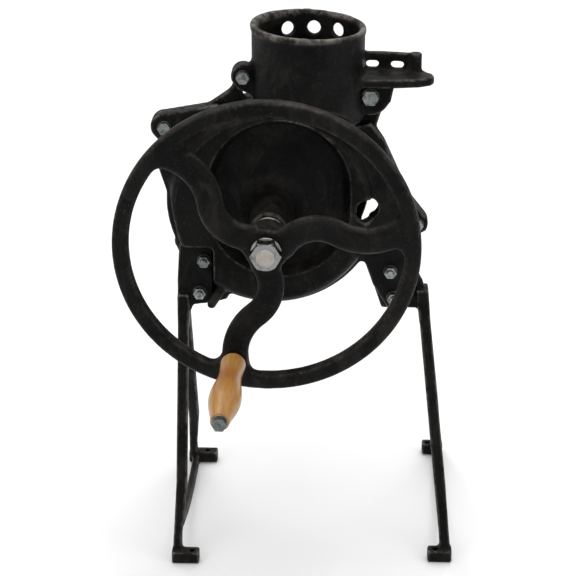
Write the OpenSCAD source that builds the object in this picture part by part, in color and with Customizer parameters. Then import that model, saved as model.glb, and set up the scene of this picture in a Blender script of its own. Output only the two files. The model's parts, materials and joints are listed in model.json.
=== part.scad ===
// Hand-cranked corn sheller: a cast casing in two halves with a feed throat on top,
// carried on two cast side frames, and turned by a flywheel with a wooden handle.
// The crank side faces -Y, +Z is up, and the origin is on the floor at the middle
// of the footprint. Inside each module, positions are measured from the shaft axis
// (x and z) and from the joint between the two casing halves (y).

/* [Flywheel] */
// Outside diameter of the flywheel
flywheel_d = 333; // [326:1:340]
// Radial height of the rim
rim_h = 18; // [14:1:20]
// Depth of the rim along the shaft
rim_depth = 18; // [14:1:20]
// Distance from the casing joint to the middle of the rim
rim_y = 147; // [145:1:150]
// Diameter of the hub
hub_d = 48; // [44:1:52]
// Width of a spoke across the wheel
spoke_w = 29; // [24:1:30]
// Depth of a spoke along the shaft
spoke_depth = 17; // [12:1:20]
// Bearing of each spoke round the hub
spoke_turns = [0, 126, 248];

/* [Shaft] */
// Diameter of the main shaft
shaft_d = 22; // [20:1:24]
// Diameter of the threaded front end of the shaft
thread_d = 20; // [16:1:20]
// Width of the hub nut across its flats
hub_nut_af = 30; // [28:1:32]

/* [Handle] */
// Distance from the shaft axis to the handle axis
crank_r = 135.6; // [134:0.2:137]
// Direction of the handle axis from the shaft axis
crank_turn = -105.4; // [-107:0.2:-104]
// Sideways lean of the handle, outer end to the left
handle_lean = 2.3; // [0:0.1:3]
// Length of the wooden handle
handle_len = 139; // [110:1:140]
// Largest diameter of the wooden handle
handle_d = 35.5; // [32:0.5:36]
// Diameter of the bolt that the handle turns on
handle_bolt_d = 8; // [6:1:8]

/* [Casing] */
// Radius of the round casing
casing_r = 124.5; // [124:0.5:126]
// Depth of the front casing half
front_depth = 36; // [34:1:38]
// Depth of the rear casing half
rear_depth = 68; // [66:1:72]
// Thickness of the cast walls
wall = 6.5; // [5.5:0.5:7]
// Thickness of the bolting flanges
flange_t = 11; // [10:1:12]
// Half width of the recess in the front casing
recess_r = 81; // [78:1:83]
// Radius of the drum behind the bolting flange
drum_r = 112; // [111:0.5:114]

/* [Feed throat] */
// Outside radius of the throat
throat_r = 64.5; // [62:0.5:66]
// Height of the throat rim above the shaft axis
throat_top = 206; // [200:1:210]
// Sideways distance from the shaft axis to the throat axis
throat_x = 40.3; // [38:0.1:42]
// Reach of the side shelf from the shaft axis
shelf_reach = 181; // [178:1:184]
// Slope of the throat rim, right side lower
rim_slope = 2.4; // [0:0.2:3]

/* [Side frames] */
// Height of the shaft axis above the floor
shaft_z = 408; // [404:1:412]
// Sideways reach of the left feet from the shaft axis
left_reach = 113.8; // [112:0.2:116]
// Sideways reach of the right feet from the shaft axis
right_reach = 214.3; // [212:0.1:216]
// Forward and backward reach of the left feet from the casing joint
left_span = [134, 124];
// Forward and backward reach of the right feet from the casing joint
right_span = [121, 155];
// Width of a leg bar seen from the side
bar_w = 14; // [12:1:16]
// Height of the foot blocks
foot_h = 15; // [12:1:18]
// Depth of the foot blocks
foot_depth = 16; // [15:1:18]
// Diameter of the hole in each foot
foot_hole_d = 7; // [6:0.5:7]

/* [Fasteners] */
// Diameter of each casing bolt: left, top, shelf and side
casing_bolt_d = [8, 8, 10, 8];
// Diameter of the frame bolts
frame_bolt_d = 8; // [6:1:8]

/* [Hidden] */
$fn = 96;

// Height of a corner pointing nut face above its flat
HEX = 2 / sqrt(3);
// Radial clearance of a running fit
run_gap = 0.08;
// Radial clearance of a bolt in its hole
bolt_gap = 0.3;
// Axial gap between a turning face and a still one
face_gap = 0.4;
// Overreach of a cutting tool past the face that it cuts
cut = 1;

flywheel_r = flywheel_d / 2;
rim_in_r = flywheel_r - rim_h;

// Axial stations, as y positions from the casing joint
flange_y = -flange_t;
recess_floor_y = -14;
boss_end_y = -98;
bush_flange_t = 3;
spacer_back_y = boss_end_y - bush_flange_t - face_gap;
hub_back_y = -117;
hub_front_y = -156;
hub_washer_t = 3;
hub_nut_h = 15;
nut_back_y = hub_front_y - hub_washer_t;
shaft_front_y = nut_back_y - hub_nut_h - 2.5;
rear_plate_y = rear_depth - wall;
rear_boss_y = rear_depth + 24;
shaft_back_y = rear_boss_y + 9;

// Shelling disc and its teeth
disc_r = 98;
disc_y = 2;
disc_t = 9;
tooth_h = 4;
tooth_rings = [[50, 12], [66, 16], [82, 20]];
disc_hub_r = 24;
disc_hub_back_y = disc_y + disc_t + 26;

// Handle stack along its own axis, measured from the front of its boss
boss_front_y = -158;
boss_len = 24;
handle_washer_t = 1.6;
handle_back = -handle_washer_t - face_gap;
handle_front = handle_back - handle_len;
handle_head_af = handle_bolt_d * 1.75;
handle_end = handle_front - face_gap - handle_washer_t - 6;
handle_end_y = boss_front_y + handle_end * cos(handle_lean)
    - handle_head_af * HEX / 2 * sin(handle_lean);
crank = [crank_r * cos(crank_turn), crank_r * sin(crank_turn)];

// Bolt places on the casing, as x and z
lug_left = [-121, 89];
lug_top = [-32, 149];
lug_shelf = [110, 128];
lug_side = [166, -24];
casing_bolts = [lug_left, lug_top, lug_shelf, lug_side];
lug_radii = [16, 13.5, 22.5, 13];
left_frame_bolts = [[-78.5, -69], [-84, -109]];
right_frame_bolts = [[137, -83], [141, -116]];
frame_plate_t = 8;

// Shelf floor and the curve of its back wall, in plan
shelf_z = 141;
shelf_t = 10;
shelf_wall_h = 31;
shelf_curve = [100, -230];
shelf_curve_r = 251;

// Rise of the recess, which is longer than it is wide, and its place
recess_rise = 25;
recess_x = 9;

// Legs: distance inwards from the outer side of the foot, and share of the length
left_leg = [[0.6, 0], [2, 0.1], [4.4, 0.3], [4.4, 1], [16.8, 1], [16.8, 0.3], [11.5, 0.1], [11.5, 0]];
right_leg = [[0.6, 0], [3.4, 0.1], [8.5, 0.3], [30.7, 1], [43.3, 1], [21.5, 0.3], [15, 0.1], [13, 0]];
// Lengths of the feet, front then rear, and how far in their holes are
left_feet = [32, 36.5];
right_feet = [28.4, 26.5];
left_hole_in = 23.5;
right_hole_in = 19.5;

// Pressure plate and its spring
plate_hinge = [36, 56];
plate_pin_d = 8;
plate_t = 6;
plate_w = 46;
plate_len = 124;
plate_x = 50;
spring_z = -10;
spring_r = 9;
spring_wire = 2.2;
spring_turns = 6;
cup_r = 16;
cup_end_y = rear_depth + 40;
screw_d = 12;

// Place of the shaft axis and the casing joint above the middle of the footprint
shaft_x = (flywheel_r - right_reach) / 2;
joint_y = (-handle_end_y - right_span[1]) / 2;

iron = [0.09, 0.09, 0.09];
zinc = [0.72, 0.73, 0.74];
bright = [0.85, 0.85, 0.86];
wood = [0.80, 0.66, 0.47];
bronze = [0.62, 0.46, 0.26];

// Moves the parts from the shaft and joint frame to the floor frame
module in_frame() {
    translate([shaft_x, joint_y, shaft_z]) children();
}

// Cylinder along +Y from y1 to y2 at x and z
module rod(x, z, y1, y2, r) {
    translate([x, y1, z]) rotate([-90, 0, 0]) cylinder(h = y2 - y1, r = r);
}

// Cone along +Y from y1 to y2 at x and z
module cone(x, z, y1, y2, r1, r2) {
    translate([x, y1, z]) rotate([-90, 0, 0]) cylinder(h = y2 - y1, r1 = r1, r2 = r2);
}

// Hexagonal prism along Y with two flats level
module hex(x, z, y1, y2, af) {
    translate([x, y1, z]) rotate([-90, 0, 0]) cylinder(h = y2 - y1, d = af * HEX, $fn = 6);
}

// Ring along Y
module ring(x, z, y1, y2, r_out, r_in) {
    difference() {
        rod(x, z, y1, y2, r_out);
        rod(x, z, y1 - cut, y2 + cut, r_in);
    }
}

// Solid made from an outline in x and z, between y1 and y2
module slab(y1, y2) {
    translate([0, y2, 0]) rotate([90, 0, 0]) linear_extrude(height = y2 - y1) children();
}

// Solid of revolution about an axis along Y, from an outline of [radius, y] points
module turned(outline) {
    rotate([-90, 0, 0]) rotate_extrude() polygon(outline);
}

// Holes for some of the casing bolts
module casing_holes(which, y1, y2) {
    for (i = which) rod(casing_bolts[i][0], casing_bolts[i][1], y1, y2, casing_bolt_d[i] / 2 + bolt_gap);
}

// Holes for the fasteners at a list of places
module bolt_holes(places, d, y1, y2) {
    for (p = places) rod(p[0], p[1], y1, y2, d / 2 + bolt_gap);
}

// Outline that both casing halves share: the round, the two lower lugs and the side lobe
module casing_outline() {
    difference() {
        circle(r = casing_r);
        polygon([[-140, 42], [-130, 42], [-120, 10], [-116, -6], [-109, -38], [-104, -50], [-140, -50]]);
    }
    polygon([[-112, 50], [-136, 84], [-125, 104], [-60, 116], [-60, 0], [-109, -62],
             [-113, -20], [-120, 10], [-130, 42]]);
    translate(lug_left) circle(r = lug_radii[0]);
    polygon([[-107, -48], [-60, -40], [-52, -122], [-70, -127], [-100, -127], [-104, -120]]);
    polygon([[88, 90], [112, 96], [127, 74], [137, 52], [156, 10], [176, -16], [178, -32],
             [158, -44], [156, -130], [146, -136], [134, -130], [117, -101], [100, -52], [60, 0]]);
    translate(lug_side) circle(r = lug_radii[3]);
    translate([146, -124]) circle(r = 12);
}

// Raised round face of the front casing, grown by a clearance
module dish(grow) {
    turned([[0, -front_depth - grow], [109 + grow, -front_depth - grow], [113.5 + grow, -32 - grow],
            [121 + grow, -12], [121 + grow, -1], [0, -1]]);
}

// Recess in the front casing, two rounds joined by straight sides
module recess(grow, floor_y) {
    near_r = recess_r + grow;
    deep_r = recess_r + grow - 8;
    mouth_y = -front_depth - cut;
    for (z = [0, recess_rise]) cone(recess_x, z, mouth_y, floor_y, near_r, deep_r);
    linear_extrude(height = recess_rise)
        polygon([[recess_x - near_r, mouth_y], [recess_x + near_r, mouth_y],
                 [recess_x + deep_r, floor_y], [recess_x - deep_r, floor_y]]);
}

module front_casing() {
    color(iron) in_frame() difference() {
        union() {
            difference() {
                union() {
                    slab(flange_y, 0) casing_outline();
                    dish(0);
                    // Thick lobe round the side hole
                    slab(-22, flange_y) intersection() {
                        casing_outline();
                        polygon([[96, 72], [122, 62], [146, 12], [150, -30], [112, -50], [60, -70],
                                 [60, 72]]);
                    }
                }
                recess(0, recess_floor_y);
                // Left side drawn in, as the flange is
                slab(-60, flange_y)
                    polygon([[-140, 42], [-119, 42], [-114, 10], [-112, -6], [-106, -38], [-102, -50],
                             [-140, -50]]);
                // Seat that the left frame plate lies in
                slab(-60, flange_y) polygon([[-140, -47], [-67, -47], [-67, -140], [-140, -140]]);
            }
            // Boss for the long bearing, widening to the recess floor
            turned([[0, boss_end_y], [19, boss_end_y], [21, boss_end_y + 3], [24.5, -36], [27, -26],
                    [36, recess_floor_y - 3], [46, recess_floor_y + 0.5], [46, -9], [0, -9]]);
            // Slanted stub in front of the corner of the left frame plate
            translate([-70, -27, -121]) {
                rotate([-23.8, 36.1, 0]) cylinder(h = 30, r = 5.5);
                sphere(r = 5.5);
            }
        }
        // Pocket for the disc, and the hollow behind the raised face
        rod(0, 0, -8, cut, 112);
        difference() {
            turned([[0, -28], [100, -28], [112, -10], [112, -7], [0, -7]]);
            recess(wall, -7);
            slab(-60, cut) polygon([[-140, 60], [-60, 60], [-60, -140], [-140, -140]]);
        }
        // Round hole in the lobe
        rod(108.6, -1, -40, cut, 13);
        rod(0, 0, boss_end_y - cut, cut, 15.05);
        casing_holes([0, 3], -30, cut);
        bolt_holes(left_frame_bolts, frame_bolt_d, -30, cut);
        bolt_holes(right_frame_bolts, frame_bolt_d, -30, cut);
    }
}

// Chute on the side that the cobs leave by
module chute(x1, x2, z1, z2, y2) {
    slab(0, y2) polygon([[x1, z1], [x2, z1], [x2, z2 - 12], [x2 - 12, z2], [x1, z2]]);
}

module rear_casing() {
    color(iron) in_frame() difference() {
        union() {
            slab(0, flange_t) union() {
                casing_outline();
                polygon([[-125, 99], [-98, 95], [-47, 131], [-38, 150], [-32, 120], [-60, 60], [-110, 60]]);
                polygon([[60, 90], [92, 140], [112, 148], [130, 128], [118, 90]]);
                for (i = [1, 2]) translate(casing_bolts[i]) circle(r = lug_radii[i]);
            }
            rod(0, 0, 0, rear_depth, drum_r);
            chute(80, 150, -52, 10, 52);
            rod(0, 0, rear_depth, rear_boss_y, 25);
            rod(plate_x, spring_z, rear_depth, cup_end_y, cup_r);
            // Ribs from the rear boss to the rim
            for (a = [45, 165, 285]) rotate([0, a, 0])
                translate([22, rear_depth - 1, -4]) cube([88, 9, 8]);
        }
        rod(0, 0, -cut, rear_plate_y, drum_r - wall);
        // Inside of the chute, open at the back
        translate([0, -cut, 0]) chute(80, 150 - wall, -52 + wall, 10 - wall, 52 + 2 * cut);
        // Room for the head of a frame bolt beside the drum
        rod(left_frame_bolts[0][0], left_frame_bolts[0][1], flange_t, flange_t + 7, 9);
        // Room for the throat tube and for the shelf
        translate([throat_x, 5, 99.6]) cylinder(h = 80, r = throat_r - 1.1);
        translate([80, -cut, shelf_z - 0.4]) cube([60, flange_t + 2, 30]);
        // Opening for the feed throat and the grain outlet
        translate([-6, 13, 60]) cube([103, 45, 80]);
        translate([-62, 14, -150]) cube([116, 44, 80]);
        rod(0, 0, rear_plate_y - cut, rear_boss_y + cut, 15.05);
        rod(plate_x, spring_z, rear_plate_y - cut, cup_end_y - 8, spring_r + 3.5);
        rod(plate_x, spring_z, 0, cup_end_y + cut, screw_d / 2 + run_gap);
        casing_holes([0, 1, 2, 3], -cut, flange_t + cut);
        bolt_holes(left_frame_bolts, frame_bolt_d, -cut, flange_t + cut);
        bolt_holes(right_frame_bolts, frame_bolt_d, -cut, flange_t + cut);
    }
    // Ears for the pressure plate hinge
    color(iron) in_frame() for (s = [-1, 1]) difference() {
        translate([plate_x + s * (plate_w / 2 + 5) - 4, plate_hinge[0] - 7, plate_hinge[1] - 7])
            cube([8, rear_plate_y - plate_hinge[0] + 8, 14]);
        hinge_bore(plate_pin_d / 2 + run_gap);
    }
}

// Bore or pin along X through the pressure plate hinge
module hinge_bore(r, reach = 60) {
    translate([plate_x - reach / 2 - 20, plate_hinge[0], plate_hinge[1]])
        rotate([0, 90, 0]) cylinder(h = reach + 40, r = r);
}

// Hole through the throat wall, along a bearing from its back
module throat_hole(bearing) {
    translate([throat_x, 5, throat_top - 20]) rotate([0, 0, -bearing])
        rotate([-90, 0, 0]) cylinder(h = throat_r + 5, r = 7.7);
}

module feed_throat() {
    color(iron) in_frame() difference() {
        union() {
            // Tube with a rolled rim, down to the drum behind the flange
            translate([throat_x, 5, 100]) cylinder(h = throat_top - 106, r = throat_r - 1.5);
            translate([throat_x, 5, throat_top]) rotate([0, rim_slope, 0]) {
                translate([0, 0, -10]) cylinder(h = 4.01, r1 = throat_r - 2.3, r2 = throat_r);
                translate([0, 0, -6]) cylinder(h = 6, r = throat_r);
            }
            intersection() {
                translate([throat_x, 5, 60]) cylinder(h = 50, r = throat_r - 1.8);
                translate([-60, flange_t + 0.4, 0]) cube([200, 80, 130]);
            }
            // Shoulder from the front of the tube back to the casing
            intersection() {
                translate([throat_x, 5, 104]) cylinder(h = 50, r = throat_r - 1.8);
                side_plate(-40, 120) polygon([[-60, 129], [-37, 109], [-11, 109], [-11, 117], [-34, 117],
                                              [-60, 137]]);
            }
            // Web with the two bolt lugs
            slab(-flange_t, -0.02) union() {
                polygon([[-30, 163], [-45, 150], [-38, 134], [-10, 123], [60, 123], [96, 113],
                         [118, 107], [133, 121], [137, 142], [100, 152], [-12, 166]]);
                translate(lug_top) circle(r = lug_radii[1]);
                translate(lug_shelf) circle(r = lug_radii[2]);
            }
            // Shelf beside the throat, with its curved back wall and end post
            translate([0, 0, shelf_z]) linear_extrude(height = shelf_t)
                polygon([[88, -24], [140, -24], [164, -20], [shelf_reach - 4, -13], [shelf_reach, -5],
                         [shelf_reach - 2, 5], [168, 15], [140, 19], [88, 21]]);
            translate([0, 0, shelf_z]) linear_extrude(height = shelf_wall_h) intersection() {
                difference() {
                    translate(shelf_curve) circle(r = shelf_curve_r, $fn = 360);
                    translate(shelf_curve) circle(r = shelf_curve_r - 7, $fn = 360);
                }
                translate([86, -12]) square([77, 60]);
            }
            translate([161, 8.5, shelf_z]) cylinder(h = shelf_wall_h + 1.5, r = 6);
        }
        difference() {
            translate([throat_x, 5, 50]) cylinder(h = throat_top, r = throat_r - wall - 1.5);
            side_plate(-40, 120) polygon([[-70, 40], [-70, 144], [-34, 116.5], [-11.5, 116.5],
                                          [-11.5, 40]]);
        }
        translate([throat_x, 5, throat_top]) rotate([0, rim_slope, 0]) translate([0, 0, -3])
            cylinder(h = 6, r1 = throat_r - wall - 0.8, r2 = throat_r - wall + 4);
        for (b = [-25, 5, 34]) throat_hole(b);
        // Two slots low in the shelf wall
        for (x = [112, 140]) {
            for (s = [-4, 4]) rod(x + s, shelf_z + 17, -4, 30, 4);
            translate([x - 4, -4, shelf_z + 13]) cube([8, 34, 8]);
        }
        // The tube's front ends above the round recess, on the slant of the shoulder
        side_plate(-40, 120) polygon([[-80, 60], [-80, 128.5], [-60, 128.5], [-37, 109.5], [-37, 60]]);
        // Room for the casing below
        rod(0, 0, flange_y - 1, flange_t + 0.4, casing_r + 0.4);
        rod(0, 0, flange_t, 90, drum_r + 0.4);
        dish(0.5);
        // Room for the head and the nut of the bolt under the shelf
        rod(lug_shelf[0], lug_shelf[1], 0, 21, 10.5);
        rod(lug_shelf[0], lug_shelf[1], -40, -flange_t, 10.6);
        casing_holes([1, 2], -20, cut);
    }
}

module front_bearing_bush() {
    color(bronze) in_frame() difference() {
        union() {
            rod(0, 0, boss_end_y - bush_flange_t, boss_end_y, 17);
            rod(0, 0, boss_end_y - 0.01, -40, 15.05);
        }
        rod(0, 0, -120, -20, shaft_d / 2 + run_gap);
    }
}

module rear_bearing_bush() {
    color(bronze) in_frame() ring(0, 0, rear_plate_y, rear_boss_y, 15.05, shaft_d / 2 + run_gap);
}

module casing_bolts() {
    color(zinc) in_frame() for (i = [0 : 3]) {
        p = casing_bolts[i];
        d = casing_bolt_d[i];
        hex(p[0], p[1], -flange_t - 2 - d * 0.65, -flange_t - 2, d * 1.625);
        rod(p[0], p[1], -flange_t - 2.01, flange_t + 12.5, d / 2);
    }
}

module casing_washers() {
    color(zinc) in_frame() for (i = [0 : 3])
        ring(casing_bolts[i][0], casing_bolts[i][1], -flange_t - 2, -flange_t, casing_bolt_d[i],
             casing_bolt_d[i] / 2);
}

module casing_nuts() {
    color(zinc) in_frame() for (i = [0 : 3]) difference() {
        hex(casing_bolts[i][0], casing_bolts[i][1], flange_t, flange_t + 8, casing_bolt_d[i] * 1.625);
        rod(casing_bolts[i][0], casing_bolts[i][1], 0, 60, casing_bolt_d[i] / 2);
    }
}

// Flat foot with a vertical bolt hole, from its outer side inwards
module foot(x_out, y_mid, inward, len, hole_in) {
    difference() {
        translate([inward > 0 ? x_out : x_out - len, y_mid - foot_depth / 2, 0])
            cube([len, foot_depth, foot_h]);
        translate([x_out + inward * hole_in, y_mid, -cut]) cylinder(h = foot_h + 2, d = foot_hole_d);
    }
}

// Leg bar with the given outline across the machine, leaning from its foot to the neck
module leg(x_out, inward, outline, y_foot, y_top, z_top) {
    rise = z_top - 3;
    run = y_top - y_foot;
    translate([x_out, y_foot, 3]) rotate([-atan2(run, rise), 0, 0]) slab(-bar_w / 2, bar_w / 2)
        polygon([for (p = outline) [inward * p[0], p[1] * norm([run, rise])]]);
}

// Sagging brace between the two feet, as an arc that meets the leaning front leg higher up
module brace(y_front, y_back, rise) {
    start = y_front + 0.45 * rise;
    run = y_back - y_front;
    arc_r = (run * run + rise * rise) / (2 * rise);
    intersection() {
        translate([y_back, arc_r + 2]) difference() {
            circle(r = arc_r, $fn = 360);
            circle(r = arc_r - 11, $fn = 360);
        }
        translate([start, 0]) square([y_back - start, rise + 14]);
    }
}

// Turns an outline in y and z into a plate along x, standing on the floor
module side_plate(x1, x2) {
    translate([x1, 0, 0]) rotate([90, 0, 90]) linear_extrude(height = x2 - x1) children();
}

// Two legs, two feet and the brace of one side frame
module legs(x_out, inward, outline, foot_y, y_plate, neck, lens, hole_in) {
    brace_x = x_out + inward * 9.5;
    leg(x_out, inward, outline, foot_y[0], y_plate - 6, neck);
    leg(x_out, inward, outline, foot_y[1], y_plate + 6, neck);
    for (i = [0, 1]) foot(x_out, foot_y[i], inward, lens[i], hole_in);
    side_plate(brace_x - 4.3, brace_x + 4.3) brace(foot_y[0], foot_y[1], 42);
}

module left_side_frame() {
    y_plate = -flange_t - frame_plate_t / 2;
    x_out = -left_reach;
    foot_y = [-left_span[0] + foot_depth / 2, left_span[1] - foot_depth / 2];
    neck = shaft_z - 128;
    color(iron) translate([shaft_x, joint_y, 0]) difference() {
        union() {
            legs(x_out, 1, left_leg, foot_y, y_plate, neck, left_feet, left_hole_in);
            // Neck that both legs run into
            slab(y_plate - 13, y_plate + 13)
                polygon([[x_out + 3.7, neck - 22], [x_out + 17.5, neck - 22], [x_out + 17.5, neck + 18],
                         [x_out + 3.7, neck + 18]]);
            // Plate bolted over the front of the casing
            translate([0, 0, shaft_z]) slab(-flange_t - frame_plate_t, -flange_t)
                polygon([[-107, -49], [-72, -49], [-69, -60], [-69, -118], [-75, -124],
                         [-92, -126], [-95, -134], [-110.1, -134], [-110.1, -96]]);
        }
        translate([0, 0, shaft_z]) bolt_holes(left_frame_bolts, frame_bolt_d, -30, 0);
        translate([-200, -300, -40]) cube([400, 600, 40]);
        // Room for the casing flange behind the plate
        translate([-120, -flange_t, shaft_z - 130]) cube([80, 40, 90]);
    }
}

module right_side_frame() {
    y_plate = flange_t + frame_plate_t / 2;
    x_out = right_reach;
    foot_y = [-right_span[0] + foot_depth / 2, right_span[1] - foot_depth / 2];
    neck = shaft_z - 132;
    color(iron) translate([shaft_x, joint_y, 0]) difference() {
        union() {
            legs(x_out, -1, right_leg, foot_y, y_plate, neck, right_feet, right_hole_in);
            // Neck that both legs run into
            slab(y_plate - 13, y_plate + 13)
                polygon([[x_out - 41.5, neck - 22], [x_out - 27.8, neck - 22], [x_out - 31.5, neck + 18],
                         [x_out - 46, neck + 18]]);
            // Plate bolted behind the casing
            translate([0, 0, shaft_z]) slab(flange_t, flange_t + frame_plate_t)
                polygon([[124, -64], [150, -64], [160, -84], [171, -96], [176, -105], [181, -124],
                         [184, -140], [128, -140], [118, -110]]);
        }
        translate([0, 0, shaft_z]) bolt_holes(right_frame_bolts, frame_bolt_d, 0, 40);
        translate([-200, -300, -40]) cube([600, 600, 40]);
        translate([100, -40, shaft_z - 138]) cube([60, 40 + flange_t, 100]);
    }
}

// Frame fasteners: heads behind, nuts in front where the thread shows
module frame_bolts() {
    y_back_left = flange_t;
    y_back_right = flange_t + frame_plate_t;
    color(zinc) in_frame() {
        for (p = left_frame_bolts) {
            hex(p[0], p[1], y_back_left, y_back_left + 5.5, frame_bolt_d * 1.625);
            rod(p[0], p[1], -flange_t - frame_plate_t - 11, y_back_left + 0.01, frame_bolt_d / 2);
        }
        for (p = right_frame_bolts) {
            hex(p[0], p[1], y_back_right, y_back_right + 5.5, frame_bolt_d * 1.625);
            rod(p[0], p[1], -flange_t - 11, y_back_right + 0.01, frame_bolt_d / 2);
        }
    }
}

module frame_washers() {
    color(zinc) in_frame() {
        for (p = left_frame_bolts)
            ring(p[0], p[1], -flange_t - frame_plate_t - 1.6, -flange_t - frame_plate_t,
                 frame_bolt_d, frame_bolt_d / 2);
        for (p = right_frame_bolts)
            ring(p[0], p[1], -flange_t - 1.6, -flange_t, frame_bolt_d, frame_bolt_d / 2);
    }
}

module frame_nuts() {
    color(zinc) in_frame() {
        for (p = left_frame_bolts) difference() {
            hex(p[0], p[1], -flange_t - frame_plate_t - 8.1, -flange_t - frame_plate_t - 1.6,
                frame_bolt_d * 1.625);
            rod(p[0], p[1], -40, 0, frame_bolt_d / 2);
        }
        for (p = right_frame_bolts) difference() {
            hex(p[0], p[1], -flange_t - 8.1, -flange_t - 1.6, frame_bolt_d * 1.625);
            rod(p[0], p[1], -40, 0, frame_bolt_d / 2);
        }
    }
}

module main_shaft() {
    color(bright) in_frame() difference() {
        union() {
            rod(0, 0, hub_front_y + 1, shaft_back_y, shaft_d / 2);
            cone(0, 0, shaft_front_y, shaft_front_y + 1.5, thread_d / 2 - 1.5, thread_d / 2);
            rod(0, 0, shaft_front_y + 1.49, hub_front_y + 1.01, thread_d / 2);
        }
        // Seat for the flywheel key, and the hole for the disc pin
        translate([-3, hub_front_y + 6, shaft_d / 2 - 3]) cube([6, 28, 6]);
        translate([0, disc_hub_back_y - 10, -30]) cylinder(h = 60, r = 3);
    }
}

// Shelling disc: teeth in three rings on its rear face, and a hub behind
module shelling_disc() {
    color(iron) in_frame() difference() {
        union() {
            rod(0, 0, disc_y, disc_y + disc_t, disc_r);
            rod(0, 0, disc_y + disc_t - 0.01, disc_hub_back_y, disc_hub_r);
            for (tooth_ring = tooth_rings, i = [0 : tooth_ring[1] - 1])
                rotate([0, 360 * i / tooth_ring[1], 0])
                    cone(tooth_ring[0], 0, disc_y + disc_t - 0.01, disc_y + disc_t + tooth_h, 4.5, 2.5,
                         $fn = 24);
        }
        rod(0, 0, -10, disc_hub_back_y + cut, shaft_d / 2);
        translate([0, disc_hub_back_y - 10, -30]) cylinder(h = 60, r = 3);
    }
}

module disc_pin() {
    color(bright) in_frame() translate([0, disc_hub_back_y - 10, -disc_hub_r - 1])
        cylinder(h = 2 * disc_hub_r + 2, r = 3);
}

module spacer_sleeve() {
    color(bright) in_frame() ring(0, 0, hub_back_y, spacer_back_y, 15, shaft_d / 2);
}

// Profile of a rounded bar, w across and d deep
module bar_profile(w, d, edge) {
    polygon([[-w / 2 + edge, -d / 2], [w / 2 - edge, -d / 2], [w / 2, -d / 2 + edge],
             [w / 2, d / 2 - edge], [w / 2 - edge, d / 2], [-w / 2 + edge, d / 2],
             [-w / 2, d / 2 - edge], [-w / 2, -d / 2 + edge]]);
}

// Arc of a bar in the wheel plane, about a centre given in x and z
module bar_arc(centre, r, from, sweep) {
    translate([centre[0], 0, centre[1]]) rotate([90, 0, 0]) rotate([0, 0, from])
        rotate_extrude(angle = sweep) translate([r, 0]) bar_profile(spoke_w, spoke_depth, 5);
}

// S-shaped spoke: two arcs that meet where the line of their centres crosses
module spoke() {
    near = [55, -20];
    near_r = 44;
    far = [107, 72];
    far_r = norm(far - near) - near_r;
    meet = atan2(far[1] - near[1], far[0] - near[0]);
    bar_arc(near, near_r, meet - 0.5, 95);
    bar_arc(far, far_r, 179.5 + meet, 70);
}

module flywheel() {
    color(iron) in_frame() difference() {
        union() {
            rotate([-90, 0, 0]) translate([0, 0, -rim_y]) rotate_extrude($fn = 180)
                translate([flywheel_r - rim_h / 2, 0]) bar_profile(rim_h, rim_depth, 3);
            rod(0, 0, hub_front_y, hub_back_y, hub_d / 2);
            intersection() {
                translate([0, -rim_y, 0]) for (a = spoke_turns) rotate([0, -a, 0]) spoke();
                rod(0, 0, -180, -100, flywheel_r - 5);
            }
            on_crank() rod(0, 0, 0, boss_len, 15);
        }
        rod(0, 0, -180, -100, shaft_d / 2);
        on_crank() rod(0, 0, -20, boss_len + 20, handle_bolt_d / 2);
        translate([-3, hub_front_y - cut, 0]) cube([6, 45, shaft_d / 2 + 3]);
    }
}

module flywheel_key() {
    color(bright) in_frame() translate([-3, hub_front_y + 6, shaft_d / 2 - 3]) cube([6, 28, 6]);
}

module hub_washer() {
    color(bright) in_frame() ring(0, 0, nut_back_y, hub_front_y, 16.5, thread_d / 2 + bolt_gap);
}

module hub_nut() {
    color(bright) in_frame() difference() {
        intersection() {
            hex(0, 0, nut_back_y - hub_nut_h, nut_back_y, hub_nut_af);
            cone(0, 0, nut_back_y - hub_nut_h, nut_back_y, hub_nut_af / 2 + 0.3, hub_nut_af / 2 + 9);
        }
        rod(0, 0, -200, nut_back_y + cut, thread_d / 2);
    }
}

module tail_collar() {
    y1 = rear_boss_y + face_gap;
    color(zinc) in_frame() difference() {
        rod(0, 0, y1, y1 + 8, 17);
        rod(0, 0, y1 - cut, y1 + 10, shaft_d / 2);
        translate([0, y1 + 4, 0]) cylinder(h = 30, r = 2.5);
    }
}

module collar_screw() {
    color(zinc) in_frame() translate([0, rear_boss_y + face_gap + 4, shaft_d / 2]) cylinder(h = 7, r = 2.5);
}

// Moves the handle parts to the front of their boss, along the leaning handle axis
module on_crank() {
    translate([crank[0], boss_front_y, crank[1]]) rotate([0, 0, -handle_lean]) children();
}

// Handle bolt: the head outside the wood, a shoulder for the wood to turn on
module handle_bolt() {
    head_back = handle_front - face_gap - handle_washer_t;
    color(zinc) in_frame() on_crank() {
        hex(0, 0, handle_end, head_back, handle_head_af);
        rod(0, 0, head_back - 0.01, boss_len + 9, handle_bolt_d / 2);
    }
}

module handle_washers() {
    color(zinc) in_frame() on_crank() {
        ring(0, 0, handle_front - face_gap - handle_washer_t, handle_front - face_gap,
             handle_bolt_d + 0.4, handle_bolt_d / 2);
        ring(0, 0, -handle_washer_t, 0, handle_bolt_d + 0.4, handle_bolt_d / 2);
    }
}

module handle_nut() {
    color(zinc) in_frame() on_crank() difference() {
        hex(0, 0, boss_len, boss_len + 6.5, handle_head_af);
        rod(0, 0, 0, boss_len + 20, handle_bolt_d / 2);
    }
}

// Radius of the turned handle at a share of its length from the inner end
function handle_radius(t) =
    t < 0.04 ? handle_d * (0.3 + 0.09 * sin(90 * t / 0.04))
    : t < 0.24 ? handle_d * (0.371 + 0.019 * cos(180 * (t - 0.04) / 0.2))
    : t < 0.64 ? handle_d * (0.4215 - 0.0695 * cos(180 * (t - 0.24) / 0.4))
    : handle_d * (0.381 + 0.11 * cos(180 * (t - 0.64) / 0.42));

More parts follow.
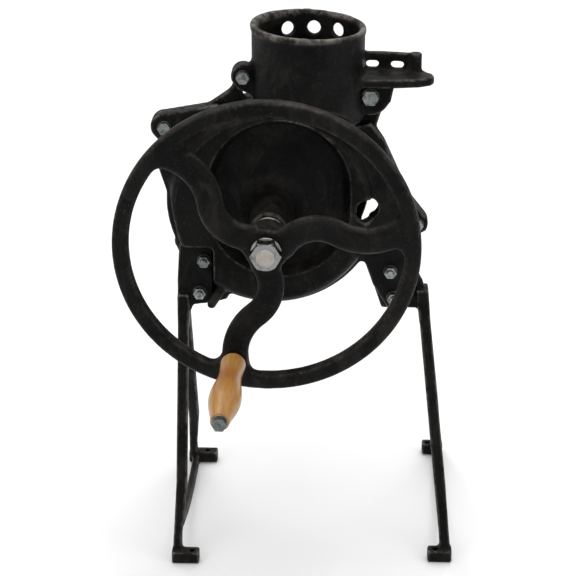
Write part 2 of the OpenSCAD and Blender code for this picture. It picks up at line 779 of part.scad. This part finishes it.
module wooden_handle() {
    steps = 50;
    outline = [for (i = [0 : steps])
        [handle_radius(i / steps), -handle_len * i / steps]];
    color(wood) in_frame() on_crank() difference() {
        translate([0, handle_back, 0]) turned(concat([[0, 0]], outline, [[0, -handle_len]]));
        rod(0, 0, -400, 100, handle_bolt_d / 2 + run_gap);
    }
}

// Plate that presses the cobs against the disc, hung on a pin at its top
module pressure_plate() {
    color(iron) in_frame() difference() {
        union() {
            translate([plate_x, plate_hinge[0], plate_hinge[1]]) rotate([0, 90, 0])
                cylinder(h = plate_w, r = 8, center = true);
            translate([plate_x - plate_w / 2, plate_hinge[0] - plate_t / 2, plate_hinge[1] - plate_len])
                cube([plate_w, plate_t, plate_len]);
            for (i = [0 : 4])
                translate([plate_x - plate_w / 2, plate_hinge[0] - plate_t / 2 - 3,
                           plate_hinge[1] - 26 - 22 * i])
                    cube([plate_w, 4, 6]);
        }
        hinge_bore(plate_pin_d / 2 + run_gap);
    }
}

module plate_hinge_pin() {
    color(zinc) in_frame() difference() {
        translate([plate_x - 35.5, plate_hinge[0], plate_hinge[1]]) rotate([0, 90, 0])
            cylinder(h = 71, r = plate_pin_d / 2);
        for (s = [-33.8, 33.8]) translate([plate_x + s, plate_hinge[0] - 10, plate_hinge[1]])
            rotate([-90, 0, 0]) cylinder(h = 20, r = 1);
    }
}

module hinge_split_pins() {
    color(zinc) in_frame() for (s = [-33.8, 33.8])
        translate([plate_x + s, plate_hinge[0] - 7, plate_hinge[1]])
            rotate([-90, 0, 0]) cylinder(h = 14, r = 1);
}

// Coil spring as a stack of rings joined by a thin core-side strip
module pressure_spring() {
    y1 = plate_hinge[0] + plate_t / 2 + 0.1;
    y2 = cup_end_y - 16;
    pitch = (y2 - y1 - spring_wire * 2) / spring_turns;
    color(zinc) in_frame() translate([plate_x, 0, spring_z]) {
        for (i = [0 : spring_turns]) translate([0, y1 + spring_wire + pitch * i, 0])
            rotate([-90, 0, 0]) rotate_extrude() translate([spring_r, 0]) circle(r = spring_wire, $fn = 24);
        translate([spring_r - 1, y1 + 1, -1]) cube([2, y2 - y1 - 2, 2]);
    }
}

module spring_seat() {
    color(zinc) in_frame() rod(plate_x, spring_z, cup_end_y - 16, cup_end_y - 12.1, 12);
}

module tension_screw() {
    color(zinc) in_frame() {
        rod(plate_x, spring_z, cup_end_y - 12, cup_end_y + 26, screw_d / 2);
        for (s = [-1, 1]) translate([plate_x + s * 11 - 8, cup_end_y + 20, spring_z - 3]) cube([16, 5, 6]);
    }
}

module lock_nut() {
    color(zinc) in_frame() difference() {
        hex(plate_x, spring_z, cup_end_y, cup_end_y + 8, 18);
        rod(plate_x, spring_z, cup_end_y - cut, cup_end_y + 10, screw_d / 2 + run_gap);
    }
}

front_casing();
rear_casing();
feed_throat();
front_bearing_bush();
rear_bearing_bush();
casing_bolts();
casing_nuts();
casing_washers();
left_side_frame();
right_side_frame();
frame_bolts();
frame_nuts();
frame_washers();
main_shaft();
shelling_disc();
disc_pin();
spacer_sleeve();
flywheel();
flywheel_key();
hub_washer();
hub_nut();
tail_collar();
collar_screw();
handle_bolt();
handle_nut();
handle_washers();
wooden_handle();
pressure_plate();
plate_hinge_pin();
hinge_split_pins();
pressure_spring();
spring_seat();
tension_screw();
lock_nut();
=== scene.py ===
"""Looks of the hand corn sheller: cast iron under worn black paint, plated fasteners, a lacquered handle."""

import json
import math

import bmesh
import bpy
import numpy as np
import openvdb
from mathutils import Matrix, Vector


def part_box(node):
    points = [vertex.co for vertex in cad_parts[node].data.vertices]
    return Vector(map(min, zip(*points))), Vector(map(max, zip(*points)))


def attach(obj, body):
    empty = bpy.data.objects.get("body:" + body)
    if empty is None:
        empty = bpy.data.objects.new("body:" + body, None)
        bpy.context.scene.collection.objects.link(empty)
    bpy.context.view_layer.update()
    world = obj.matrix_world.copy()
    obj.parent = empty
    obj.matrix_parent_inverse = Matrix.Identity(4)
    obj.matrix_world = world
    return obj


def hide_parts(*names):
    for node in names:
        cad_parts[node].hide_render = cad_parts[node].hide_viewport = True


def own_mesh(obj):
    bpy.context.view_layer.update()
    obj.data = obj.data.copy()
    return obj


MM = 0.001
WELD_DISTANCE = 0.00001
BEVEL_ANGLE = math.radians(32)
CAMERA_LENS = 113.5
CAMERA_FROM_CRANK = Vector((0.0870, -1.9470, 0.7497))
CAMERA_PITCH = 23.84
CAMERA_YAW = 2.03
FLOOR_HALF = 9.0

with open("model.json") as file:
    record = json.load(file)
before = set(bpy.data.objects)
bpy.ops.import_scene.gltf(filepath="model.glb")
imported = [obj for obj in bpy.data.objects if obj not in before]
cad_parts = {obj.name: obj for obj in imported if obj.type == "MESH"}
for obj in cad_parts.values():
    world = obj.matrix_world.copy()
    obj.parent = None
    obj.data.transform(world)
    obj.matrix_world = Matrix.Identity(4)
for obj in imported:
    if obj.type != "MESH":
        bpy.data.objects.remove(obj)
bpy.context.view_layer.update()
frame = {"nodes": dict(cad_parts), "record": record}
nodes = frame["nodes"]
bodies = frame["record"]["behaviour"]["bodies"]


def body_name(node):
    """The body that a CAD node belongs to."""
    return next(body for body, members in bodies.items() if node in members)


# --------------------------------------------------------------------------- node trees


class Tree:
    """A material's node tree, with short ways to add the nodes that this scene uses."""

    def __init__(self, name):
        self.material = bpy.data.materials.new(name)
        self.material.use_nodes = True
        self.tree = self.material.node_tree
        self.shader = self.tree.nodes["Principled BSDF"]
        self.place = self.add("ShaderNodeTexCoord").outputs["Object"]

    def add(self, kind, **settings):
        node = self.tree.nodes.new(kind)
        for key, value in settings.items():
            setattr(node, key, value)
        return node

    def link(self, source, target):
        self.tree.links.new(source, target)

    def put(self, target, value):
        """Sets a socket to a plain value, or links it to another socket."""
        if isinstance(value, bpy.types.NodeSocket):
            self.link(value, target)
        elif value is not None:
            target.default_value = value

    def stretched(self, scale):
        """Object coordinates, scaled along each axis."""
        mapping = self.add("ShaderNodeMapping")
        self.link(self.place, mapping.inputs["Vector"])
        mapping.inputs["Scale"].default_value = scale
        return mapping.outputs["Vector"]

    def noise(self, scale, detail=4.0, rough=0.55, vector=None, distortion=0.0):
        node = self.add("ShaderNodeTexNoise")
        self.link(vector or self.place, node.inputs["Vector"])
        node.inputs["Scale"].default_value = scale
        node.inputs["Detail"].default_value = detail
        node.inputs["Roughness"].default_value = rough
        node.inputs["Distortion"].default_value = distortion
        return node.outputs["Fac"]

    def ramp(self, value, low, high, out_low=0.0, out_high=1.0):
        """Maps value from low..high to out_low..out_high, smoothly and held at both ends."""
        node = self.add("ShaderNodeMapRange", interpolation_type="SMOOTHSTEP")
        self.link(value, node.inputs["Value"])
        limits = {"From Min": low, "From Max": high, "To Min": out_low, "To Max": out_high}
        for socket, number in limits.items():
            node.inputs[socket].default_value = number
        return node.outputs["Result"]

    def math(self, operation, a, b=None):
        node = self.add("ShaderNodeMath", operation=operation)
        node.use_clamp = operation in ("ADD", "MULTIPLY")
        self.put(node.inputs[0], a)
        self.put(node.inputs[1], b)
        return node.outputs[0]

    def mix(self, factor, a, b):
        node = self.add("ShaderNodeMix", data_type="RGBA")
        self.put(node.inputs["Factor"], factor)
        self.put(node.inputs["A"], a)
        self.put(node.inputs["B"], b)
        return node.outputs["Result"]

    def normal_part(self, axis):
        """How far the surface faces along one axis of the object, from -1 to 1."""
        geometry = self.add("ShaderNodeNewGeometry")
        split = self.add("ShaderNodeSeparateXYZ")
        self.link(geometry.outputs["Normal"], split.inputs["Vector"])
        return split.outputs[axis]

    def rub_and_highlight_edges(self, low, high):
        """How exposed an edge is, from the mesh's own convexity."""
        geometry = self.add("ShaderNodeNewGeometry")
        return self.ramp(geometry.outputs["Pointiness"], low, high)

    def bumps(self, *layers):
        """Stacks (height, strength, distance) bump layers into the shader's normal."""
        normal = None
        for height, strength, distance in layers:
            bump = self.add("ShaderNodeBump")
            bump.inputs["Strength"].default_value = strength
            bump.inputs["Distance"].default_value = distance
            self.link(height, bump.inputs["Height"])
            if normal:
                self.link(normal, bump.inputs["Normal"])
            normal = bump.outputs["Normal"]
        self.link(normal, self.shader.inputs["Normal"])

    def finish(self, color=None, roughness=None, **fixed):
        self.put(self.shader.inputs["Base Color"], color)
        self.put(self.shader.inputs["Roughness"], roughness)
        for key, value in fixed.items():
            self.shader.inputs[key.replace("_", " ")].default_value = value
        return self.material


def painted_iron(name, dust=0.35, wear_and_highlight=0.8, rim_top=None):
    """Black paint brushed over sand-cast iron: blotchy, dusty where it faces up, light grey on edges from real
    wear and a painted highlight.

    rim_top is the height of a rim that hands and corn have worn; the band below it is lightened the same way,
    real wear plus a painted highlight."""
    t = Tree(name)
    blotches = t.noise(22, detail=7, rough=0.62)
    shade = t.mix(t.ramp(blotches, 0.36, 0.66), (0.0028, 0.0027, 0.0026, 1), (0.0085, 0.0081, 0.0077, 1))
    streaks = t.noise(34, detail=7, rough=0.7, vector=t.stretched((1, 1, 0.5)), distortion=0.9)
    streaks = t.ramp(streaks, 0.50, 0.68)
    shade = t.mix(t.math("MULTIPLY", streaks, 0.42), shade, (0.030, 0.028, 0.0255, 1))
    specks = t.ramp(t.noise(330, detail=5, rough=0.75), 0.59, 0.69)
    shade = t.mix(t.math("MULTIPLY", specks, 0.32), shade, (0.095, 0.090, 0.082, 1))
    facing_up = t.ramp(t.normal_part("Z"), 0.35, 0.95)
    dirt = t.math("MULTIPLY", facing_up, t.ramp(t.noise(60, detail=8, rough=0.7), 0.40, 0.72))
    shade = t.mix(t.math("MULTIPLY", dirt, dust), shade, (0.050, 0.042, 0.033, 1))
    # Convex edges, and on the throat a band below the rim top, make the mask for a painted highlight mixed with
    # real wear.
    edges = t.rub_and_highlight_edges(0.507, 0.555)
    edge_rub_and_highlight = t.math("MULTIPLY", edges, t.ramp(t.noise(95, detail=6, rough=0.65), 0.36, 0.64))
    if rim_top:
        split = t.add("ShaderNodeSeparateXYZ")
        t.link(t.place, split.inputs["Vector"])
        band = t.ramp(split.outputs["Z"], rim_top - 11 * MM, rim_top - 5 * MM)
        patchy = t.ramp(t.noise(45, detail=7, rough=0.7), 0.42, 0.60)
        edge_rub_and_highlight = t.math("ADD", edge_rub_and_highlight, t.math("MULTIPLY", t.math("MULTIPLY", band, patchy), 0.75))
    # Painted highlight mixed with real wear: the masked edges turn a light grey in the base colour.
    shade = t.mix(t.math("MULTIPLY", edge_rub_and_highlight, wear_and_highlight), shade, (0.22, 0.20, 0.178, 1))
    gloss = t.ramp(t.noise(34, detail=5, rough=0.6), 0.3, 0.72, 0.40, 0.60)
    gloss = t.math("SUBTRACT", gloss, t.math("MULTIPLY", edge_rub_and_highlight, 0.10))
    sand = t.noise(1100, detail=5, rough=0.65)
    pits = t.ramp(t.noise(420, detail=3, rough=0.5), 0.56, 0.74, 1.0, 0.0)
    lumps = t.noise(75, detail=5, rough=0.6)
    t.bumps((lumps, 0.6, 0.0016), (pits, 0.5, 0.0006), (sand, 0.45, 0.0005))
    return t.finish(shade, gloss, Specular_IOR_Level=0.09)


def zinc(name, tint=(0.29, 0.315, 0.305, 1), dull=(0.09, 0.10, 0.095, 1)):
    """Bright zinc plating with dull grey patches and fine scratches."""
    t = Tree(name)
    patches = t.ramp(t.noise(180, detail=6, rough=0.65), 0.42, 0.7)
    scratches = t.noise(900, detail=3, vector=t.stretched((1, 1, 0.12)))
    t.bumps((scratches, 0.2, 0.0002), (t.noise(700, detail=3), 0.2, 0.0002))
    return t.finish(t.mix(patches, tint, dull), t.ramp(patches, 0, 1, 0.26, 0.5), Metallic=1.0)


def bright_steel(name):
    """Machined steel: turning marks round the axis, with a little tarnish."""
    t = Tree(name)
    tarnish = t.ramp(t.noise(120, detail=5), 0.5, 0.75)
    rings = t.noise(30, detail=2, vector=t.stretched((0.2, 60, 0.2)))
    t.bumps((rings, 0.25, 0.0002))
    return t.finish(t.mix(tarnish, (0.60, 0.59, 0.57, 1), (0.34, 0.29, 0.24, 1)), 0.28, Metallic=1.0)


def chrome(name):
    """Bright nut plating with faint smears."""
    t = Tree(name)
    smears = t.ramp(t.noise(90, detail=4), 0.45, 0.75)
    t.bumps((t.noise(300, detail=3), 0.12, 0.0003))
    shade = t.mix(smears, (0.27, 0.27, 0.27, 1), (0.11, 0.11, 0.105, 1))
    return t.finish(shade, t.ramp(smears, 0, 1, 0.16, 0.34), Metallic=1.0)


def shaft_end(name):
    """Sawn shaft end: dull pale grey with faint brown patches."""
    t = Tree(name)
    rust = t.ramp(t.noise(160, detail=6, rough=0.7), 0.46, 0.62)
    t.bumps((t.noise(500, detail=5), 0.6, 0.0006))
    return t.finish(t.mix(rust, (0.42, 0.39, 0.36, 1), (0.36, 0.30, 0.26, 1)), 0.5, Metallic=0.0)


def bronze(name):
    """Cast bronze bush with dark oil stains."""
    t = Tree(name)
    oil = t.ramp(t.noise(110, detail=5), 0.4, 0.7)
    t.bumps((t.noise(600, detail=3), 0.2, 0.0002))
    return t.finish(t.mix(oil, (0.50, 0.37, 0.20, 1), (0.16, 0.11, 0.06, 1)), 0.36, Metallic=1.0)


def lacquered_wood(name, inner_y, outer_y):
    """Pale turned hardwood: long grain along Y, an orange stain by the neck, clear lacquer."""
    t = Tree(name)
    grain = t.noise(14, detail=8, rough=0.62, vector=t.stretched((26, 1.4, 26)), distortion=0.6)
    pores = t.noise(40, detail=6, rough=0.7, vector=t.stretched((60, 3, 60)))
    wood = t.mix(t.ramp(grain, 0.34, 0.68), (0.46, 0.235, 0.060, 1), (0.355, 0.158, 0.034, 1))
    wood = t.mix(t.ramp(pores, 0.60, 0.74, 0.0, 0.55), wood, (0.26, 0.12, 0.035, 1))
    # The stain sits between the inner ball and the swell, and thins out in patches
    split = t.add("ShaderNodeSeparateXYZ")
    t.link(t.place, split.inputs["Vector"])
    length = inner_y - outer_y
    near = t.ramp(split.outputs["Y"], inner_y - 0.62 * length, inner_y - 0.46 * length)
    far = t.ramp(split.outputs["Y"], inner_y - 0.34 * length, inner_y - 0.20 * length, 1.0, 0.0)
    patch = t.math("MULTIPLY", t.math("MULTIPLY", near, far), t.ramp(t.noise(40, detail=4), 0.36, 0.55))
    wood = t.mix(t.math("MULTIPLY", patch, 0.7), wood, (0.37, 0.125, 0.022, 1))
    t.bumps((grain, 0.15, 0.0004), (pores, 0.1, 0.0002))
    return t.finish(wood, 0.42, Coat_Weight=0.25, Coat_Roughness=0.16)


def spring_steel(name):
    """Oiled dark spring wire."""
    t = Tree(name)
    shade = t.mix(t.ramp(t.noise(150), 0.4, 0.7), (0.16, 0.15, 0.15, 1), (0.07, 0.06, 0.055, 1))
    return t.finish(shade, 0.34, Metallic=1.0)


# --------------------------------------------------------------------------- cast meshes


def mesh_points(obj):
    """Vertices and triangles of a mesh, as arrays in metres."""
    mesh = obj.data
    mesh.calc_loop_triangles()
    points = np.empty(len(mesh.vertices) * 3, np.float32)
    mesh.vertices.foreach_get("co", points)
    triangles = np.empty(len(mesh.loop_triangles) * 3, np.int32)
    mesh.loop_triangles.foreach_get("vertices", triangles)
    return points.reshape(-1, 3), triangles.reshape(-1, 3)


def welded(points, triangles, grid=1e-6):
    """Joins vertices that lie on the same spot, so that the surface is closed."""
    cells = np.round(points / grid).astype(np.int64)
    _, first, index = np.unique(cells, axis=0, return_index=True, return_inverse=True)
    triangles = index.reshape(-1)[triangles]
    a, b, c = triangles.T
    return points[first], triangles[(a != b) & (b != c) & (a != c)]


def level_surface(points, triangles, quads, voxel, offset, reach):
    """The surface that lies offset outside the given closed one."""
    grid = openvdb.FloatGrid.createLevelSetFromPolygons(
        points, triangles=triangles, quads=quads,
        transform=openvdb.createLinearTransform(voxelSize=voxel), halfWidth=reach / voxel + 3)
    return grid.convertToQuads(isovalue=offset)


def cast_surface(obj, voxel, fillet, rounding):
    """A closed surface like obj's, with its inner corners filled and its edges rounded, as castings have."""
    points, triangles = welded(*mesh_points(obj))
    no_triangles = np.empty((0, 3), np.uint32)
    no_quads = np.empty((0, 4), np.uint32)
    points, quads = level_surface(points, triangles.astype(np.uint32), no_quads, voxel, fillet, fillet)
    for offset in (-fillet - rounding, rounding):
        points, quads = level_surface(points, no_triangles, quads, voxel, offset, abs(offset))
    return points, quads


def cast_piece(node, material, voxel=1.4 * MM, fillet=3.0 * MM, rounding=1.4 * MM, smooth=3):
    """Stands a rounded casting in for a CAD node, a hair inside its box."""
    points, quads = cast_surface(nodes[node], voxel, fillet, rounding)
    low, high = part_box(node)
    points = np.clip(points, np.array(low), np.array(high))
    mesh = bpy.data.meshes.new(node + "_cast")
    mesh.from_pydata(points.tolist(), [], quads[:, ::-1].tolist())
    mesh.update()
    piece = bpy.data.objects.new(node + "_cast", mesh)
    bpy.context.collection.objects.link(piece)
    mesh.polygons.foreach_set("use_smooth", [True] * len(mesh.polygons))
    relax = piece.modifiers.new("relax", "SMOOTH")
    relax.factor = 0.5
    relax.iterations = smooth
    mesh.materials.append(material)
    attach(piece, body_name(node))
    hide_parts(node)
    return piece


def keep_node(node, material, bevel=0.4 * MM):
    """Shows a CAD node as it is, with small bevels so that its edges catch the light."""
    obj = nodes[node]
    obj.data.materials.clear()
    while obj.material_slots:
        obj.data.materials.pop(index=0)
    obj.data.materials.append(material)
    for polygon in obj.data.polygons:
        polygon.material_index = 0
    weld = obj.modifiers.new("weld", "WELD")
    weld.merge_threshold = WELD_DISTANCE
    if bevel:
        edges = obj.modifiers.new("bevel", "BEVEL")
        edges.width = bevel
        edges.segments = 2
        edges.limit_method = "ANGLE"
        edges.angle_limit = BEVEL_ANGLE
        edges.harden_normals = True
    return obj


def coil_spring(turns=7.5, wire=2.1 * MM, sides=14, steps_per_turn=40):
    """A wound spring with closed ends, where the CAD has plain rings, built at one fixed length."""
    low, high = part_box("pressure_spring")
    middle = (low + high) / 2
    radius = (high.x - low.x) / 2 - wire
    length = high.y - low.y
    end_turn, end_rise = 0.9 / turns, 1.9 * wire / length
    steps = int(turns * steps_per_turn)
    bm = bmesh.new()
    rings = []
    for i in range(steps + 1):
        share = i / steps
        if share < end_turn:
            rise = end_rise * share / end_turn
        elif share > 1 - end_turn:
            rise = 1 - end_rise * (1 - share) / end_turn
        else:
            rise = end_rise + (1 - 2 * end_rise) * (share - end_turn) / (1 - 2 * end_turn)
        turn = 2 * math.pi * turns * share
        out = Vector((math.cos(turn), 0, math.sin(turn)))
        centre = Vector((middle.x, low.y + wire + (length - 2 * wire) * rise, middle.z)) + out * radius
        ring = []
        for k in range(sides):
            a = 2 * math.pi * k / sides
            ring.append(bm.verts.new(centre + (out * math.cos(a) + Vector((0, 1, 0)) * math.sin(a)) * wire))
        rings.append(ring)
    for first, second in zip(rings, rings[1:]):
        for k in range(sides):
            bm.faces.new((first[k], first[k - 1], second[k - 1], second[k]))
    bm.faces.new(rings[0])
    bm.faces.new(reversed(rings[-1]))
    bmesh.ops.recalc_face_normals(bm, faces=bm.faces)
    mesh = bpy.data.meshes.new("coil_spring")
    bm.to_mesh(mesh)
    bm.free()
    mesh.polygons.foreach_set("use_smooth", [len(face.vertices) == 4 for face in mesh.polygons])
    spring = bpy.data.objects.new("coil_spring", mesh)
    bpy.context.collection.objects.link(spring)
    mesh.materials.append(spring_steel("spring_steel"))
    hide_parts("pressure_spring")
    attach(spring, "casing")
    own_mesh(spring)


# --------------------------------------------------------------------------- the object

# Each of these paints lightens its edges with real wear plus a painted highlight.
iron = painted_iron("black_paint_worn_and_highlit")
throat_iron = painted_iron("throat_paint_worn_and_highlit", rim_top=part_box("feed_throat")[1].z)
wheel_iron = painted_iron("wheel_paint_worn_and_highlit", dust=0.75, wear_and_highlight=0.9)
frame_iron = painted_iron("frame_paint_worn_and_highlit", dust=0.4, wear_and_highlight=0.9)
zinc_plate = zinc("zinc_plate")
steel = bright_steel("machined_steel")

cast_piece("front_casing", iron, fillet=4 * MM, rounding=1.6 * MM)
cast_piece("rear_casing", iron, voxel=1.7 * MM, fillet=3 * MM, rounding=1.6 * MM)
cast_piece("feed_throat", throat_iron, voxel=1.2 * MM, fillet=3 * MM, rounding=1.2 * MM)
cast_piece("flywheel", wheel_iron, voxel=1.3 * MM, fillet=9 * MM, rounding=4 * MM)
for side in ("left", "right"):
    cast_piece(side + "_side_frame", frame_iron, voxel=1.1 * MM, fillet=1.6 * MM, rounding=1.0 * MM)
cast_piece("shelling_disc", iron, voxel=1.5 * MM, fillet=1.5 * MM, rounding=1 * MM)
cast_piece("pressure_plate", iron, voxel=1.2 * MM, fillet=1.5 * MM, rounding=1 * MM)

for name in ("casing_bolts", "casing_nuts", "frame_bolts", "frame_nuts", "handle_nut", "handle_washers",
             "collar_screw", "tail_collar", "lock_nut", "tension_screw", "spring_seat", "plate_hinge_pin",
             "hinge_split_pins"):
    keep_node(name, zinc_plate)
keep_node("handle_bolt", zinc("grey_zinc", tint=(0.16, 0.18, 0.175, 1), dull=(0.07, 0.08, 0.08, 1)))
for name in ("casing_washers", "frame_washers"):
    keep_node(name, zinc("dull_washers", tint=(0.12, 0.125, 0.12, 1), dull=(0.03, 0.03, 0.03, 1)))
for name in ("disc_pin", "spacer_sleeve", "flywheel_key", "hub_washer", "front_bearing_bush"):
    keep_node(name, steel)
keep_node("main_shaft", shaft_end("painted_shaft_end"))
keep_node("hub_nut", chrome("bright_nut"), bevel=0.7 * MM)
keep_node("rear_bearing_bush", bronze("bush_bronze"))
handle_low, handle_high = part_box("wooden_handle")
handle = keep_node("wooden_handle", lacquered_wood("lacquered_wood", handle_high.y, handle_low.y), bevel=0)
handle.data.polygons.foreach_set("use_smooth", [True] * len(handle.data.polygons))
coil_spring()

# --------------------------------------------------------------------------- camera, floor, light

camera = bpy.data.objects.new("camera", bpy.data.cameras.new("camera"))
camera.data.sensor_width = 36
camera.data.lens = CAMERA_LENS
crank = next(j for j in frame["record"]["behaviour"]["joints"] if j["name"] == "crank_spin")
camera.location = Vector(crank["pos_m"]) + CAMERA_FROM_CRANK
camera.rotation_euler = (math.radians(90 - CAMERA_PITCH), 0, math.radians(CAMERA_YAW))
bpy.context.collection.objects.link(camera)
bpy.context.scene.camera = camera


def pale(name, color):
    t = Tree(name)
    return t.finish(t.mix(t.ramp(t.noise(3), 0.3, 0.7), color, tuple(0.985 * c for c in color[:3]) + (1,)), 0.9)


def floor():
    """A flat pale floor that reaches far past the object."""
    mesh = bpy.data.meshes.new("floor")
    s = FLOOR_HALF
    mesh.from_pydata([(-s, -s, 0), (s, -s, 0), (s, s, 0), (-s, s, 0)], [], [(0, 1, 2, 3)])
    obj = bpy.data.objects.new("floor", mesh)
    obj.data.materials.append(pale("pale_floor", (0.93, 0.93, 0.93, 1)))
    bpy.context.collection.objects.link(obj)


def area_light(name, place, target, size, power):
    light = bpy.data.lights.new(name, "AREA")
    light.shape = "RECTANGLE"
    light.size, light.size_y = size
    light.energy = power
    obj = bpy.data.objects.new(name, light)
    obj.location = place
    obj.rotation_euler = (Vector(target) - Vector(place)).to_track_quat("-Z", "Y").to_euler()
    bpy.context.collection.objects.link(obj)


floor()
area_light("top_softbox", (0.1, 0.0, 2.6), (0, 0, 0.35), (2.4, 2.0), 36)
area_light("front_left", (-2.0, -1.8, 1.7), (0, 0, 0.35), (1.4, 1.8), 15)
area_light("front_right", (2.2, -1.2, 1.5), (0, 0, 0.35), (1.2, 1.8), 9)
area_light("back_softbox", (0, 2.6, 3.0), (0, 2.3, 0), (4.5, 3.0), 75)

world = bpy.data.worlds.new("studio")
world.use_nodes = True
world.node_tree.nodes["Background"].inputs["Color"].default_value = (1, 1, 1, 1)
world.node_tree.nodes["Background"].inputs["Strength"].default_value = 0.45
bpy.context.scene.world = world
bpy.context.scene.view_settings.view_transform = "Standard"
